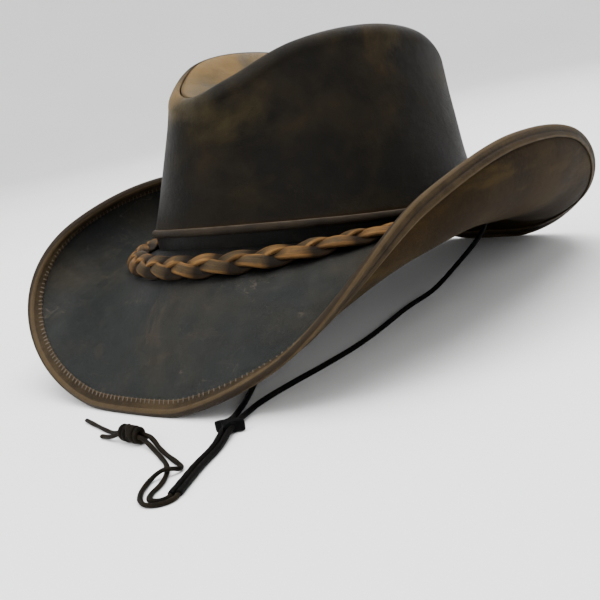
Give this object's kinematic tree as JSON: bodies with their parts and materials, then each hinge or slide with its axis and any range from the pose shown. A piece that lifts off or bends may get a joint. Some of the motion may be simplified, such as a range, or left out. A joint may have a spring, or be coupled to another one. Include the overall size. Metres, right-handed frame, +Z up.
{
  "type": "bush hat",
  "caption": "Leather bush hat with a creased crown, an upturned brim with a stitched folded edge, a plaited band and a chin cord with a star-shaped slide and an end knot.",
  "frame": {"origin": "on the surface that the hat lies on, under the middle of the hat without its chin cord", "axes": "+Z up from the surface; -Y is the front of the hat; +X is its wearer's left; +Y is the hat's longest extent"},
  "size_m": [0.2818, 0.4159, 0.1606],
  "materials": {
    "crown_leather": "oiled and distressed, near black brown with tan wear on the ridges",
    "welt_leather": "rubbed grey brown piping",
    "brim_leather": "oiled slate grey with scratches above, suede-like brown below",
    "binding_leather": "rubbed brown strip with pale slanted stitches",
    "plait_leather": "tan strands with darker grey brown faces",
    "cord_braid": "black braided cord",
    "lace_leather": "dark brown thin lace",
    "slide_plastic": "satin black"
  },
  "bodies": {
    "root": {"crown_side": "crown_leather", "crown_top": "crown_leather", "crown_welt": "welt_leather", "foot_band": "brim_leather", "brim": "brim_leather", "brim_binding": "binding_leather", "plaited_band": "plait_leather", "cord_back": "cord_braid", "cord_left": "cord_braid", "cord_right": "cord_braid", "cord_left_tail": "cord_braid", "cord_right_tail": "cord_braid", "lace_loop": "lace_leather", "lace_straight": "lace_leather", "lace_long_end": "lace_leather", "lace_short_end": "lace_leather", "cord_slide": "slide_plastic", "end_knot": "lace_leather"}
  },
  "joints": []
}
